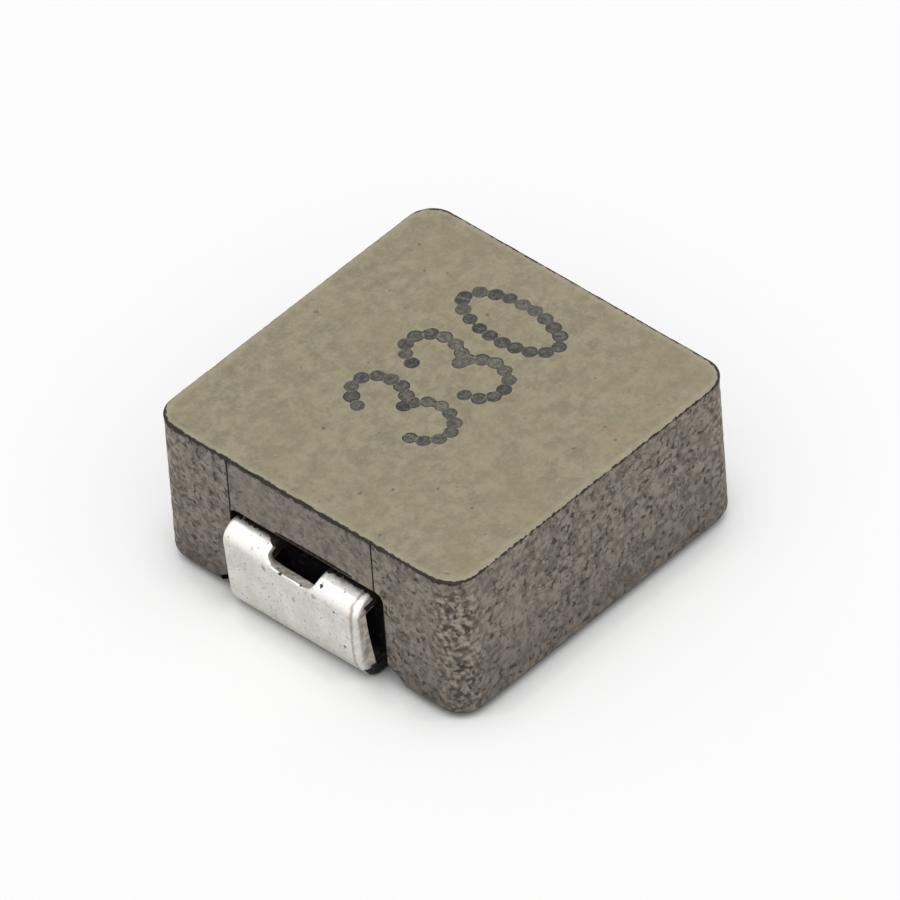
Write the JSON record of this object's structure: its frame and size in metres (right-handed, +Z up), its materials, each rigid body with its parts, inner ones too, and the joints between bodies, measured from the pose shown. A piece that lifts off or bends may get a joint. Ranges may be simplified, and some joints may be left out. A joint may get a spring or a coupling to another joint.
{
  "type": "shielded smd inductor",
  "caption": "Square moulded power inductor with rounded upright corners and a bent tinned terminal on each of two opposite sides.",
  "frame": {"origin": "middle of the footprint, on the board that the feet stand on", "axes": "+Z up from the board, X from the left terminal to the right terminal, Y across the body"},
  "size_m": [0.0074, 0.0066, 0.003],
  "materials": {
    "powder_core": "pressed metal powder, matt and granular, with a smoother olive top",
    "winding": "enamelled copper wire",
    "terminal_left": "dull tin plate over copper sheet",
    "terminal_right": "dull tin plate over copper sheet"
  },
  "bodies": {
    "root": {"powder_core": "powder_core", "winding": "winding", "terminal_left": "terminal_left", "terminal_right": "terminal_right"}
  },
  "joints": []
}
